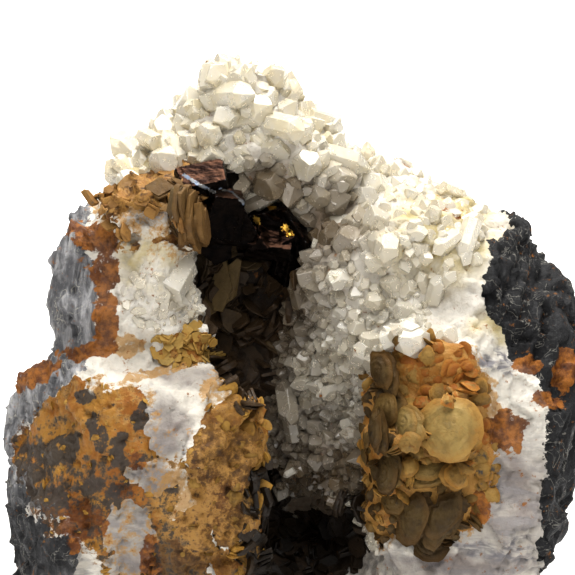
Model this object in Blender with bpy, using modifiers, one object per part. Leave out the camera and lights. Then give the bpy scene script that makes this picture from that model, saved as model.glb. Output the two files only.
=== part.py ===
"""A hand specimen of vein rock with an open crystal pocket.

Two walls of dark schist hold a vein of white quartz between them. A deep pocket runs down the middle of the vein
and opens towards the front. Quartz points line its head and its right side, siderite blades line its left side,
chalcopyrite crystals sit at its head, and weathered siderite covers both sides of its mouth.

Lengths are in millimetres and mm() turns them into Blender's metres. X runs across the specimen, Y runs from the
front to the back, and Z runs up from the flat foot, which is at z = 0. The front is -Y.
"""

import math
import random

import bmesh
import bpy
from mathutils import Euler, Matrix, Vector, noise
from mathutils.bvhtree import BVHTree

GAP = 0.3  # clearance between two minerals that touch
ROCK_VOXEL = 1.3
ROCK_FACES = 1900
REGION_VOXEL = 2.6
REGION_FACES = 150

PIECES = "chalcopyrite_specimen"
CUTTERS = "cutters"

# A lump is (centre, half sizes, turn about Z in degrees), a rounded block
ROCK = {
    "left_lobe": ((-23.5, -9, 25), (20, 19, 20.5), 10),
    "lobe_rim": ((-33, -4, 24), (13, 15, 14.5), 0),
    "lobe_bulge": ((-11, -14, 28), (10, 12, 16), 20),
    "left_foot": ((-27, -4, 9), (18, 20, 12), 0),
    "left_block": ((-24, 2, 53), (12.5, 15, 13), 0),
    "upper_stack": ((-20, 4, 67), (9, 11, 6.5), 0),
    "head_lower": ((-8, 12, 65), (19, 11, 9.5), 0),
    "head_middle": ((-7.5, 12, 70), (14.5, 10, 9.5), 0),
    "head_upper": ((-7, 13, 75), (9, 8, 9.5), 0),
    "head_peak": ((-7.5, 10.5, 80.5), (5, 6, 10.5), 0),
    "back_wall": ((2, 16, 38), (32, 10, 33), 0),
    "back_ridge": ((-14, 20, 49), (11, 9, 18), 8),
    "back_shelf": ((19, 20, 31), (14, 9, 21), -10),
    "back_foot": ((-9, 19, 12), (17, 10, 12), 5),
    "heel": ((2, 12, 8), (36, 16, 10), 0),
    "sill": ((2, -6, 2), (30, 18, 4), 0),
    "right_shoulder": ((20, 5, 55), (11, 13, 13), 0),
    "outer_shoulder": ((30, 4, 50.5), (11, 14, 12.5), 0),
    "right_crest": ((38, 2, 45.5), (8.5, 12, 10), 0),
    "right_side": ((31.5, -2, 35), (16, 18, 17), 0),
    "right_foot": ((29, -6, 18), (16, 19, 20), -6),
    "boss_upper": ((24, -13, 45), (8, 9, 8), 0),
    "boss_lower": ((20, -15, 31), (9, 9.5, 13), 10),
    "pocket_wall": ((9, 5, 38), (11, 14, 26), 40),
}

POCKET = {
    "head": ((-6, -4, 61), (9.5, 11, 9), 10),
    "throat": ((-4, -8, 49), (9.5, 17, 12), 25),
    "slope": ((1, -8, 34), (6.5, 15, 17), 50),
    "belly": ((3.5, -22, 30), (7, 19, 20), 12),
    "mouth": ((5, -12, 11), (9, 20, 7.5), 16),
}

SCHIST_LEFT = {
    "upper": ((-45.5, 4, 52), (16.5, 30, 20), 0),
    "middle": ((-54, 2, 30), (15, 30, 16), 0),
    "lower": ((-50, -6, 9), (18, 30, 15), 0),
}

SCHIST_RIGHT = {
    "crest": ((45, 3, 56), (13.5, 26, 13), 0),
    "middle": ((56, 0, 38), (14, 26, 16), 0),
    "lower": ((54, -2, 14), (12.5, 26, 20), 0),
}

SIDERITE_STACK = {"stack": ((-21, -8, 68.5), (9.5, 13, 6), 0)}

SIDERITE_CRUST = {
    "face": ((-32, -28, 33), (15, 11, 14), 8),
    "lower": ((-22, -28, 14), (7, 9, 10), 0),
}

SIDERITE_LINING = {"bank": ((-4.5, -19, 29), (10, 13, 20), 22)}

SIDERITE_ROSETTE = {
    "boss": ((21, -24, 37), (10.5, 11, 17), 0),
    "rim": ((13.5, -17, 32), (5.5, 9, 15), 0),
}

SIDERITE_BLADES = {
    "upper": ((-7, 3, 51), (8, 9.5, 8), 15),
    "lower": ((-9, 1, 39.5), (6.5, 9, 9), 0),
}

DRUSE = {
    "head_front": ((-4, 1, 80), (24, 14, 14), 0),
    "head_hollow": ((-1, -3, 61), (13, 13, 11), 10),
    "throat": ((4, -6, 49), (11, 17, 13), 25),
    "slope": ((6, -7, 36), (9, 16, 19), 50),
}

# A siderite crystal is a bent lens: (x, z, width, length, thickness, azimuth, elevation, roll). It sits where a line
# along +Y at that x and z meets the rock. Azimuth and elevation are where its flat side faces, and 0, 0 is the front.
SIDERITE_LENSES = [
    (22.5, 41.5, 11.5, 8.5, 3.0, -5, 52, 10),
    (17.0, 46.5, 8.0, 7.0, 2.2, -45, 35, 20),
    (14.5, 42.5, 7.5, 8.0, 2.2, -55, 15, 60),
    (15.5, 38.0, 8.5, 7.0, 2.4, -40, 30, 0),
    (16.5, 32.0, 8.0, 7.5, 2.4, -30, 10, 40),
    (17.5, 25.5, 8.5, 7.0, 2.4, -20, 25, 15),
    (24.5, 49.5, 9.0, 7.0, 2.6, 15, 60, 0),
    (27.0, 44.5, 8.0, 6.5, 2.6, 35, 40, 10),
    (24.0, 34.5, 9.5, 7.0, 2.6, 10, 45, -15),
    (21.0, 30.0, 9.0, 7.5, 2.4, -10, 20, 35),
    (25.0, 27.5, 7.5, 9.0, 2.4, 15, 10, 0),
    (22.0, 23.0, 8.0, 7.0, 2.4, 0, 30, 0),
    (-6.5, 37.0, 9.0, 7.5, 2.6, 55, 35, 10),
    (-9.5, 41.5, 8.5, 7.0, 2.4, 25, 50, 0),
    (-7.0, 32.5, 9.5, 8.0, 2.6, 45, 15, 30),
    (-6.5, 27.5, 9.0, 8.0, 2.4, 50, 30, -10),
    (-8.5, 22.5, 9.0, 7.0, 2.4, 35, 10, 20),
    (-10.0, 17.0, 8.5, 8.0, 2.4, 30, 30, 0),
    (-12.5, 37.0, 8.5, 7.0, 2.4, 10, 30, 40),
    (-24.5, 70.0, 11.0, 7.0, 2.2, -15, 65, 0),
    (-22.5, 67.5, 10.0, 7.0, 2.2, 0, 50, 10),
    (-19.5, 70.5, 8.0, 7.0, 2.2, 15, 70, 30),
    (-16.5, 68.5, 7.0, 8.0, 2.0, 60, 15, 0),
    (-15.8, 65.0, 7.0, 8.0, 2.0, 65, 5, 20),
    (-11.5, 53.5, 8.0, 9.0, 1.9, 35, 15, 0),
    (-8.5, 50.0, 6.5, 10.5, 1.9, 50, 5, 10),
    (-12.0, 47.5, 8.0, 8.0, 1.9, 60, 20, 30),
    (-4.0, 49.0, 7.0, 9.0, 1.9, -30, 10, 0),
    (-6.2, 54.0, 8.0, 7.0, 1.9, 10, 40, 20),
    (-8.0, 44.0, 8.0, 8.0, 1.9, -20, 30, 0),
    (-10.5, 42.0, 7.0, 8.0, 1.9, 30, 10, 45),
    (-6.5, 39.0, 7.0, 8.0, 1.9, -45, 15, 0),
]

# A quartz crystal is (x, z, radius, length, azimuth, elevation) on the same lines, and points that way
QUARTZ_CRYSTALS = [
    (18.0, 50.0, 2.9, 9.0, -20, 45),
    (-13.5, 55.5, 1.8, 6.0, 40, 15),
    (-13.2, 52.0, 2.1, 6.5, 50, 0),
    (-13.8, 49.0, 1.8, 6.0, 45, -10),
    (-14.5, 58.5, 1.7, 5.5, 30, 25),
]

# A chalcopyrite crystal is (centre, size, turns about X, Y and Z in degrees)
CHALCOPYRITE_UPPER = [
    ((-11.8, -0.5, 70.2), 8.0, (20, 35, 10)),
    ((-9.8, 1.5, 65.2), 10.0, (-15, 20, 40)),
    ((-12.2, 2.5, 61.5), 8.0, (40, 10, -20)),
]
CHALCOPYRITE_GROUP = [
    ((-3.0, 4.0, 60.2), 9.5, (10, -25, 30)),
    ((0.6, 3.2, 61.8), 8.0, (-30, 15, 5)),
    ((-4.6, 3.6, 63.2), 6.0, (25, 40, 60)),
    ((0.2, 2.6, 58.6), 7.5, (5, 60, -25)),
]

COLOURS = {
    "quartz_vein": ((0.78, 0.75, 0.70), 0.45, 0.0),
    "quartz_druse": ((0.84, 0.82, 0.79), 0.18, 0.0),
    "schist_left": ((0.055, 0.060, 0.070), 0.50, 0.0),
    "schist_right": ((0.035, 0.037, 0.045), 0.45, 0.0),
    "siderite_stack": ((0.33, 0.18, 0.07), 0.60, 0.0),
    "siderite_crust": ((0.50, 0.27, 0.08), 0.75, 0.0),
    "siderite_lining": ((0.60, 0.38, 0.13), 0.60, 0.0),
    "siderite_rosette": ((0.66, 0.48, 0.19), 0.55, 0.0),
    "siderite_blades": ((0.09, 0.045, 0.018), 0.40, 0.0),
    "chalcopyrite_upper": ((0.09, 0.075, 0.085), 0.30, 0.85),
    "chalcopyrite_group": ((0.16, 0.10, 0.04), 0.30, 0.85),
}


def mm(value):
    return value * 0.001


def mm_vector(point):
    return Vector(point) * 0.001


def clear_scene():
    for obj in list(bpy.data.objects):
        bpy.data.objects.remove(obj, do_unlink=True)


def collection(name):
    found = bpy.data.collections.get(name)
    if found is None:
        found = bpy.data.collections.new(name)
        bpy.context.scene.collection.children.link(found)
    return found


def add_object(name, bm):
    """A mesh object of the bmesh, which is freed."""
    mesh = bpy.data.meshes.new(name)
    bm.to_mesh(mesh)
    bm.free()
    obj = bpy.data.objects.new(name, mesh)
    collection(PIECES).objects.link(obj)
    return obj


def copy_object(obj, name):
    twin = bpy.data.objects.new(name, obj.data.copy())
    collection(PIECES).objects.link(twin)
    return twin


def remove(*objects):
    for obj in objects:
        bpy.data.objects.remove(obj, do_unlink=True)


def bake_modifiers(obj):
    graph = bpy.context.evaluated_depsgraph_get()
    mesh = bpy.data.meshes.new_from_object(obj.evaluated_get(graph))
    obj.modifiers.clear()
    old = obj.data
    obj.data = mesh
    bpy.data.meshes.remove(old)


def fuse(obj, voxel):
    """Overlapping lumps become one closed skin."""
    remesh = obj.modifiers.new("fuse", "REMESH")
    remesh.mode = "VOXEL"
    remesh.voxel_size = mm(voxel)
    bake_modifiers(obj)


def thin_out(obj, faces):
    """Collapses edges until about that many triangles are left, which leaves flat facets like broken rock."""
    decimate = obj.modifiers.new("thin_out", "DECIMATE")
    decimate.ratio = min(1.0, faces / (2.0 * len(obj.data.polygons)))
    decimate.use_collapse_triangulate = True
    bake_modifiers(obj)


def keep_largest(obj):
    """Drops the loose chips that a cut leaves."""
    bm = bmesh.new()
    bm.from_mesh(obj.data)
    left = set(bm.verts)
    islands = []
    while left:
        island = set()
        front = [left.pop()]
        while front:
            vert = front.pop()
            island.add(vert)
            for edge in vert.link_edges:
                other = edge.other_vert(vert)
                if other in left:
                    left.remove(other)
                    front.append(other)
        islands.append(island)
    islands.sort(key=len)
    chips = [vert for island in islands[:-1] for vert in island]
    bmesh.ops.delete(bm, geom=chips, context="VERTS")
    bm.to_mesh(obj.data)
    bm.free()


def boolean(obj, other, operation):
    modifier = obj.modifiers.new(operation.lower(), "BOOLEAN")
    modifier.operation = operation
    modifier.object = other
    modifier.solver = "EXACT"
    bake_modifiers(obj)


def offset_copy(obj, distance):
    """The same shape with its skin moved outwards, or inwards where the distance is negative."""
    twin = copy_object(obj, obj.name + "_offset")
    bm = bmesh.new()
    bm.from_mesh(twin.data)
    bm.normal_update()
    moves = [(vert, vert.normal * vert.calc_shell_factor() * mm(distance)) for vert in bm.verts]
    for vert, move in moves:
        vert.co += move
    bm.to_mesh(twin.data)
    bm.free()
    return twin


def cut_clear(obj, *others):
    """Cuts obj back to the clearance from each of the others."""
    for other in others:
        grown = offset_copy(other, GAP)
        boolean(obj, grown, "DIFFERENCE")
        remove(grown)
    keep_largest(obj)


def rounded_block(bm, centre, half, turn, rng, squareness=3.2, bumps=0.12):
    """Adds an icosphere pushed out towards a block, with low bumps that differ from lump to lump."""
    made = bmesh.ops.create_icosphere(bm, subdivisions=4, radius=1.0)
    offset = Vector([rng.uniform(-50, 50) for _ in range(3)])
    spin = Matrix.Rotation(math.radians(turn), 3, "Z")
    for vert in made["verts"]:
        way = vert.co.normalized()
        reach = sum(abs(c) ** squareness for c in way) ** (-1.0 / squareness)
        reach *= 1.0 + bumps * noise.noise(way * 1.8 + offset)
        local = Vector([way[i] * half[i] * reach for i in range(3)])
        vert.co = mm_vector(Vector(centre) + spin @ local)


def lumps(name, table, seed, voxel):
    """The lumps of a table fused into one closed solid."""
    rng = random.Random(seed)
    bm = bmesh.new()
    for centre, half, turn in table.values():
        rounded_block(bm, centre, half, turn, rng)
    obj = add_object(name, bm)
    fuse(obj, voxel)
    return obj


def roughen(obj, seed, coarse=1.5, fine=0.6):
    """Moves the skin in and out by two sizes of noise, in millimetres."""
    rng = random.Random(seed)
    offset = Vector([rng.uniform(-50, 50) for _ in range(3)])
    bm = bmesh.new()
    bm.from_mesh(obj.data)
    bm.normal_update()
    for vert in bm.verts:
        place = vert.co * 1000
        move = coarse * noise.noise(place / 10.0 + offset)
        move += fine * noise.noise(place / 4.0 - offset)
        vert.co += vert.normal * mm(move)
    bm.to_mesh(obj.data)
    bm.free()


def chip(obj, seed, count, depth):
    """Breaks flat facets off the skin, each a plane that takes a shallow cap away."""
    rng = random.Random(seed)
    bm = bmesh.new()
    bm.from_mesh(obj.data)
    bm.normal_update()
    verts = list(bm.verts)
    done = 0
    for _ in range(count * 6):
        start = rng.choice(verts)
        tilt = Vector([rng.uniform(-0.4, 0.4) for _ in range(3)])
        way = (start.normal + tilt).normalized()
        origin = start.co - way * mm(rng.uniform(0.5, depth))
        reach = mm(rng.uniform(8, 14))
        cap = []
        for vert in verts:
            apart = vert.co - origin
            height = apart.dot(way)
            if height > 0 and apart.length < reach:
                cap.append((vert, height))
        if max(height for _, height in cap) > mm(depth * 1.3):
            continue
        for vert, height in cap:
            vert.co -= way * height
        done += 1
        if done == count:
            break
    bm.to_mesh(obj.data)
    bm.free()


def cut_foot(obj):
    """Cuts the rock off flat at z = 0, so that it stands."""
    bm = bmesh.new()
    bm.from_mesh(obj.data)
    geometry = bm.verts[:] + bm.edges[:] + bm.faces[:]
    cut = bmesh.ops.bisect_plane(
        bm, geom=geometry, plane_co=(0, 0, 0), plane_no=(0, 0, -1), clear_outer=True
    )
    rim = [item for item in cut["geom_cut"] if isinstance(item, bmesh.types.BMEdge)]
    bmesh.ops.holes_fill(bm, edges=rim)
    bmesh.ops.triangulate(bm, faces=[face for face in bm.faces if len(face.verts) > 4])
    bm.to_mesh(obj.data)
    bm.free()


def make_rock():
    rock = lumps("rock", ROCK, seed=11, voxel=ROCK_VOXEL)
    pocket = lumps("pocket", POCKET, seed=5, voxel=ROCK_VOXEL)
    boolean(rock, pocket, "DIFFERENCE")
    remove(pocket)
    fuse(rock, ROCK_VOXEL)
    roughen(rock, seed=3)
    chip(rock, seed=8, count=110, depth=2.4)
    fuse(rock, ROCK_VOXEL)
    thin_out(rock, ROCK_FACES)
    cut_foot(rock)
    keep_largest(rock)
    return rock


def facing(azimuth, elevation, roll=0.0):
    """The turn that takes +Z to where a crystal faces, with the front at azimuth 0."""
    way = Matrix.Rotation(math.radians(azimuth), 3, "Z")
    way = way @ Matrix.Rotation(math.radians(90 - elevation), 3, "X")
    return way @ Matrix.Rotation(math.radians(roll), 3, "Z")


def add_hull(bm, points):
    """Adds the convex solid around the points."""
    verts = [bm.verts.new(mm_vector(point)) for point in points]
    made = bmesh.ops.convex_hull(bm, input=verts)
    spare = [item for item in made["geom_interior"] if isinstance(item, bmesh.types.BMVert)]
    bmesh.ops.delete(bm, geom=spare, context="VERTS")


def add_lens(bm, centre, width, length, thickness, turn, rng):
    """Adds a flat crystal with a sharp eight-sided rim and a low cone on each face, bent a little."""
    bend = rng.uniform(0.06, 0.14) * width
    rim = []
    for side in range(8):
        angle = 2 * math.pi * side / 8
        grown = 1.0 + rng.uniform(-0.12, 0.12)
        u = grown * math.cos(angle)
        v = grown * math.sin(angle)
        local = Vector((u * width / 2, v * length / 2, bend * (u * u - v * v)))
        rim.append(bm.verts.new(mm_vector(Vector(centre) + turn @ local)))
    top, bottom = [
        bm.verts.new(mm_vector(Vector(centre) + turn @ Vector((0, 0, height))))
        for height in (thickness / 2, -thickness / 2)
    ]
    for side in range(8):
        after = (side + 1) % 8
        bm.faces.new((top, rim[side], rim[after]))
        bm.faces.new((bottom, rim[after], rim[side]))


def quartz_points(base, radius, length, turn, rng):
    """The corners of a six-sided quartz prism with a point on its outer end."""
    spin = rng.uniform(0, 60)
    points = []
    for height, scale in ((0.0, 1.0), (length - radius * 1.15, 0.92)):
        for side in range(6):
            angle = math.radians(60 * side + spin)
            local = Vector((math.cos(angle) * radius * scale, math.sin(angle) * radius * scale, height))
            points.append(Vector(base) + turn @ local)
    tip = Vector((rng.uniform(-0.2, 0.2) * radius, rng.uniform(-0.2, 0.2) * radius, length))
    points.append(Vector(base) + turn @ tip)
    return points


def sphenoid_points(centre, size, turns):
    """The corners of a wedge-shaped chalcopyrite crystal, a tetrahedron with blunt corners."""
    corners = [Vector(c) * size * 0.5 for c in ((1, 1, 1), (1, -1, -1), (-1, 1, -1), (-1, -1, 1))]
    turn = Euler([math.radians(t) for t in turns]).to_matrix()
    points = []
    for here in corners:
        for there in corners:
            if here is not there:
                points.append(Vector(centre) + turn @ here.lerp(there, 0.24))
    return points


def union_all(name, solids):
    """One solid of many closed ones, which are freed."""
    whole = add_object(name, solids[0])
    for solid in solids[1:]:
        other = add_object(name + "_other", solid)
        boolean(whole, other, "UNION")
        remove(other)
    return whole


def solid_tree(obj):
    return BVHTree.FromObject(obj, bpy.context.evaluated_depsgraph_get())


def grow_crystals(rock):
    """Joins the siderite lenses and the quartz crystals to the rock they stand on."""
    rng = random.Random(31)
    tree = solid_tree(rock)
    front = Vector((0, 1, 0))
    solids = []
    for x, z, width, length, thickness, azimuth, elevation, roll in SIDERITE_LENSES:
        point, normal, _, _ = tree.ray_cast(mm_vector((x, -80, z)), front)
        bm = bmesh.new()
        centre = point * 1000 + normal * 0.9
        add_lens(bm, centre, width, length, thickness, facing(azimuth, elevation, roll), rng)
        solids.append(bm)
    for x, z, radius, length, azimuth, elevation in QUARTZ_CRYSTALS:
        point, normal, _, _ = tree.ray_cast(mm_vector((x, -80, z)), front)
        bm = bmesh.new()
        turn = facing(azimuth, elevation)
        base = point * 1000 - turn @ Vector((0, 0, 0.45 * length))
        add_hull(bm, quartz_points(base, radius, length, turn, rng))
        solids.append(bm)
    for solid in solids:
        crystal = add_object("crystal", solid)
        boolean(rock, crystal, "UNION")
        remove(crystal)


def make_chalcopyrite(name, table, rock):
    """A group of chalcopyrite crystals grown together, and the room for it cut into the rock."""
    solids = []
    room = []
    for centre, size, turns in table:
        for extra, group in ((0.0, solids), (GAP * 3.2, room)):
            bm = bmesh.new()
            add_hull(bm, sphenoid_points(centre, size + extra, turns))
            group.append(bm)
    whole = union_all(name, solids)
    socket = union_all(name + "_socket", room)
    boolean(rock, socket, "DIFFERENCE")
    remove(socket)
    return whole


def split_off(rock, name, table, seed):
    """Takes the part of the rock inside a region off it, as an object of its own."""
    region = lumps(name + "_region", table, seed, REGION_VOXEL)
    roughen(region, seed, coarse=2.5, fine=0.0)
    thin_out(region, REGION_FACES)
    inner = offset_copy(region, -GAP)
    piece = copy_object(rock, name)
    boolean(piece, inner, "INTERSECT")
    keep_largest(piece)
    boolean(rock, region, "DIFFERENCE")
    keep_largest(rock)
    region_tree = solid_tree(inner)
    remove(region, inner)
    return piece, region_tree


def stud(druse, region_tree, others):
    """Raises a low quartz point on each outer face of the druse and joins larger crystals to it."""
    rng = random.Random(41)
    trees = [solid_tree(other) for other in others]
    bm = bmesh.new()
    bm.from_mesh(druse.data)
    bm.normal_update()
    bmesh.ops.triangulate(bm, faces=bm.faces[:])
    outer = []
    for face in bm.faces:
        middle = face.calc_center_median()
        apart = region_tree.find_nearest(middle)[3]
        clearance = min(tree.find_nearest(middle)[3] for tree in trees)
        width = 2 * face.calc_area() / face.calc_perimeter()
        if apart > mm(0.6) and width > mm(0.8) and clearance > mm(1.8):
            outer.append((face, middle.copy(), face.normal.copy(), apart))
    seats = []
    for face, middle, normal, apart in outer:
        if apart > mm(2.6) and rng.random() < 0.5:
            if all((middle - seat).length > mm(7.5) for seat, _ in seats):
                seats.append((middle, normal))
    for face, middle, normal, _ in outer:
        height = 0.42 * math.sqrt(face.calc_area()) * rng.uniform(0.7, 1.25)
        for edge in face.edges:
            ends = [vert.co for vert in edge.verts]
            along = (ends[1] - ends[0]).normalized()
            apart = (middle - ends[0]) - along * (middle - ends[0]).dot(along)
            opening = math.pi
            if not edge.is_convex:
                opening -= edge.calc_face_angle(0.0)
            height = min(height, apart.length * math.tan(min(opening / 2 - 0.15, 1.2)))
        made = bmesh.ops.poke(bm, faces=[face])
        made["verts"][0].co += normal * height
    bm.to_mesh(druse.data)
    bm.free()
    for middle, normal in seats:
        radius = rng.uniform(1.3, 2.3)
        length = radius * rng.uniform(2.4, 3.2)
        lean = (normal + Vector([rng.uniform(-0.35, 0.35) for _ in range(3)])).normalized()
        turn = lean.to_track_quat("Z", "Y").to_matrix()
        base = middle * 1000 - lean * 1.4
        bm = bmesh.new()
        add_hull(bm, quartz_points(base, radius, length, turn, rng))
        crystal = add_object("crystal", bm)
        own = solid_tree(crystal)
        if not any(own.overlap(tree) for tree in trees):
            boolean(druse, crystal, "UNION")
        remove(crystal)


def paint(obj):
    colour, roughness, metallic = COLOURS[obj.name]
    material = bpy.data.materials.new(obj.name)
    material.use_nodes = True
    shader = material.node_tree.nodes["Principled BSDF"]
    shader.inputs["Base Color"].default_value = (*colour, 1.0)
    shader.inputs["Roughness"].default_value = roughness
    shader.inputs["Metallic"].default_value = metallic
    material.diffuse_color = (*colour, 1.0)
    obj.data.materials.clear()
    obj.data.materials.append(material)


def main():
    clear_scene()
    rock = make_rock()
    grow_crystals(rock)
    upper = make_chalcopyrite("chalcopyrite_upper", CHALCOPYRITE_UPPER, rock)
    group = make_chalcopyrite("chalcopyrite_group", CHALCOPYRITE_GROUP, rock)
    cut_clear(group, upper)
    keep_largest(rock)
    split_off(rock, "schist_left", SCHIST_LEFT, seed=21)
    split_off(rock, "schist_right", SCHIST_RIGHT, seed=22)
    split_off(rock, "siderite_stack", SIDERITE_STACK, seed=23)
    split_off(rock, "siderite_crust", SIDERITE_CRUST, seed=24)
    split_off(rock, "siderite_lining", SIDERITE_LINING, seed=25)
    split_off(rock, "siderite_rosette", SIDERITE_ROSETTE, seed=26)
    split_off(rock, "siderite_blades", SIDERITE_BLADES, seed=28)
    druse, region_tree = split_off(rock, "quartz_druse", DRUSE, seed=27)
    rock.name = "quartz_vein"
    pieces = list(collection(PIECES).objects)
    stud(druse, region_tree, [piece for piece in pieces if piece is not druse])
    for piece in pieces:
        paint(piece)


main()
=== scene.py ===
"""The looks of a hand specimen of vein rock with an open crystal pocket.

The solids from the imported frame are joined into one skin, which is roughened as each mineral breaks and split
into pieces again. Quartz points, siderite lenses and chalcopyrite crystals then grow on it. Lengths are in
millimetres.
"""

import itertools
from math import cos, pi, radians, sin

import bmesh
import bpy
import numpy as np
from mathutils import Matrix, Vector
from mathutils.bvhtree import BVHTree
from numpy.linalg import norm


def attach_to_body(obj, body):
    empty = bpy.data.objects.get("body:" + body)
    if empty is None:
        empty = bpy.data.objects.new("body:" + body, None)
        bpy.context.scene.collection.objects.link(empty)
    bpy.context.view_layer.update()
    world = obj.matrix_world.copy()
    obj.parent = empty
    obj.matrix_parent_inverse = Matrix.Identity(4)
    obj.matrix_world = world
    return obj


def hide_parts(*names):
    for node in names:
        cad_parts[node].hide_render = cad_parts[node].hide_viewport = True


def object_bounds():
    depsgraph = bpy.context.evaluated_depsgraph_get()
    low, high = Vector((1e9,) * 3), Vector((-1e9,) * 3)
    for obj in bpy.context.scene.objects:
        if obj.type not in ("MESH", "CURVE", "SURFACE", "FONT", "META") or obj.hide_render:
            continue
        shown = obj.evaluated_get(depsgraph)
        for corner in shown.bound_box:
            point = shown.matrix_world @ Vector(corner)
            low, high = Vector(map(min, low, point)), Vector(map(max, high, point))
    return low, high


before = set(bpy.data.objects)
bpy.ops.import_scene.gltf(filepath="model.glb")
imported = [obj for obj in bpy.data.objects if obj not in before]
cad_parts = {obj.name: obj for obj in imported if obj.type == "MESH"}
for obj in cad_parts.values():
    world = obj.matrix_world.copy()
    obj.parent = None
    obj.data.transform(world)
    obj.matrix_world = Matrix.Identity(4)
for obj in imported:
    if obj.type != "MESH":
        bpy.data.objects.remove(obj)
cad_low, cad_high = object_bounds()
LOW = np.array(cad_low) * 1000
HIGH = np.array(cad_high) * 1000
INSET = 0.01

SKIN_VOXEL = 0.46
ORE_VOXEL = 0.22
SLOTS = {
    "quartz_vein": "quartz_vein",
    "quartz_druse": "quartz_druse",
    "schist_left": "schist",
    "schist_right": "schist",
    "siderite_stack": "siderite_brown",
    "siderite_crust": "siderite_ochre",
    "siderite_lining": "siderite_ochre",
    "siderite_rosette": "siderite_tan",
    "siderite_blades": "siderite_brown",
}
ROCK = list(SLOTS)
# The solids swell to close the gaps between them, and their common skin shrinks back again.
SWELL = 0.26
SHRINK = 0.22
MERGE = 1e-6
VEIN, DRUSE, SCHIST_L, SCHIST_R, STACK, CRUST, LINING, ROSETTE, BLADES = range(len(ROCK))


# Noise over arrays of points in millimetres

PERM = np.random.RandomState(7).permutation(256)
PERM = np.concatenate([PERM, PERM])
GRADS = np.random.RandomState(8).normal(size=(256, 3))
GRADS /= norm(GRADS, axis=1)[:, None]
NEIGHBOURS = list(itertools.product((-1, 0, 1), repeat=3))
rng = np.random.default_rng(41)


def cell_hash(cell, seed):
    x, y, z = (cell[:, i] & 255 for i in range(3))
    return PERM[PERM[PERM[(x + seed * 37) & 255] + y] + z]


def perlin(points, size, seed=0):
    """Gradient noise, from about -1 to 1, whose lumps are about size across."""
    p = points / size + seed * 13.7
    base = np.floor(p).astype(int)
    f = p - base
    u = f * f * f * (f * (f * 6 - 15) + 10)
    total = np.zeros(len(p))
    for step in itertools.product((0, 1), repeat=3):
        grad = GRADS[cell_hash(base + step, seed)]
        weight = np.where(step, u, 1 - u).prod(1)
        total += weight * ((f - step) * grad).sum(1)
    return total * 1.6


def fbm(points, size, octaves=3, seed=0):
    """Noise with finer and finer lumps on top of the first ones."""
    total = np.zeros(len(points))
    for octave in range(octaves):
        total += perlin(points, size / 2**octave, seed + octave) * 0.55**octave
    return total


def facets(points, size, tilt, seed=0):
    """Heights of flat facets at random tilts, each about that size, like broken crystal."""
    p = points / size + seed * 7.31
    base = np.floor(p).astype(int)
    best = np.full(len(p), 1e9)
    height = np.zeros(len(p))
    for step in NEIGHBOURS:
        cell = base + step
        h = cell_hash(cell, seed)
        jitter = 0.5 + 0.45 * GRADS[h]
        apart = p - (cell + jitter)
        far = (apart * apart).sum(1)
        closer = far < best
        best = np.where(closer, far, best)
        way = GRADS[(h + 91) & 255]
        flat = (apart * way).sum(1) * tilt + (h / 255.0 - 0.5) * tilt * 0.6
        height = np.where(closer, flat, height)
    return height * size


def smoothstep(x, low, high):
    """0 below low, 1 above high and a soft step between them."""
    t = np.clip((x - low) / (high - low), 0, 1)
    return t * t * (3 - 2 * t)


# Meshes


def read(data, key, width=3, kind=np.float32):
    """A property of every item in a mesh's data, one row for each."""
    flat = np.zeros(len(data) * width, kind)
    data.foreach_get(key, flat)
    return flat.reshape(-1, width)


def coords(mesh):
    return read(mesh.vertices, "co").astype(float) * 1000


def set_coords(mesh, points):
    mesh.vertices.foreach_set("co", (points / 1000).astype(np.float32).ravel())
    mesh.update()


def normals(mesh):
    return read(mesh.vertex_normals, "vector").astype(float)


def add_object(name, data):
    obj = bpy.data.objects.new(name, data)
    bpy.context.scene.collection.objects.link(obj)
    return obj


def modify(obj, kind, **settings):
    """Adds one modifier and makes its result the object's own mesh."""
    modifier = obj.modifiers.new(kind.lower(), kind)
    for key, value in settings.items():
        setattr(modifier, key, value)
    graph = bpy.context.evaluated_depsgraph_get()
    mesh = bpy.data.meshes.new_from_object(obj.evaluated_get(graph))
    obj.modifiers.clear()
    old = obj.data
    obj.data = mesh
    bpy.data.meshes.remove(old)


def largest_island(mesh):
    """A flag for each vertex, true on the biggest connected piece."""
    edges = read(mesh.edges, "vertices", 2, np.int32)
    label = np.arange(len(mesh.vertices))
    while True:
        low = np.minimum(label[edges[:, 0]], label[edges[:, 1]])
        new = label.copy()
        np.minimum.at(new, edges[:, 0], low)
        np.minimum.at(new, edges[:, 1], low)
        new = new[new]
        if (new == label).all():
            return label == np.bincount(label).argmax()
        label = new


def make_skin():
    """One fine closed skin round all the rock solids, with the gaps between them closed."""
    bm = bmesh.new()
    for name in ROCK:
        start = len(bm.verts)
        bm.from_mesh(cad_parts[name].data)
        bm.verts.ensure_lookup_table()
        bmesh.ops.remove_doubles(bm, verts=bm.verts[start:], dist=MERGE)
    bm.normal_update()
    for vert in bm.verts:
        vert.co += vert.normal * (SWELL / 1000)
    mesh = bpy.data.meshes.new("skin")
    bm.to_mesh(mesh)
    bm.free()
    skin = add_object("skin", mesh)
    modify(skin, "REMESH", mode="VOXEL", voxel_size=SKIN_VOXEL / 1000)
    keep = largest_island(skin.data)
    if not keep.all():
        bm = bmesh.new()
        bm.from_mesh(skin.data)
        bm.verts.ensure_lookup_table()
        bmesh.ops.delete(bm, geom=[bm.verts[i] for i in np.flatnonzero(~keep)], context="VERTS")
        bm.to_mesh(skin.data)
        bm.free()
    modify(skin, "SMOOTH", factor=0.5, iterations=6)
    set_coords(skin.data, coords(skin.data) - normals(skin.data) * SHRINK)
    return skin


def tree_of(mesh):
    return BVHTree.FromPolygons([v.co for v in mesh.vertices], [f.vertices for f in mesh.polygons])


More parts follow.
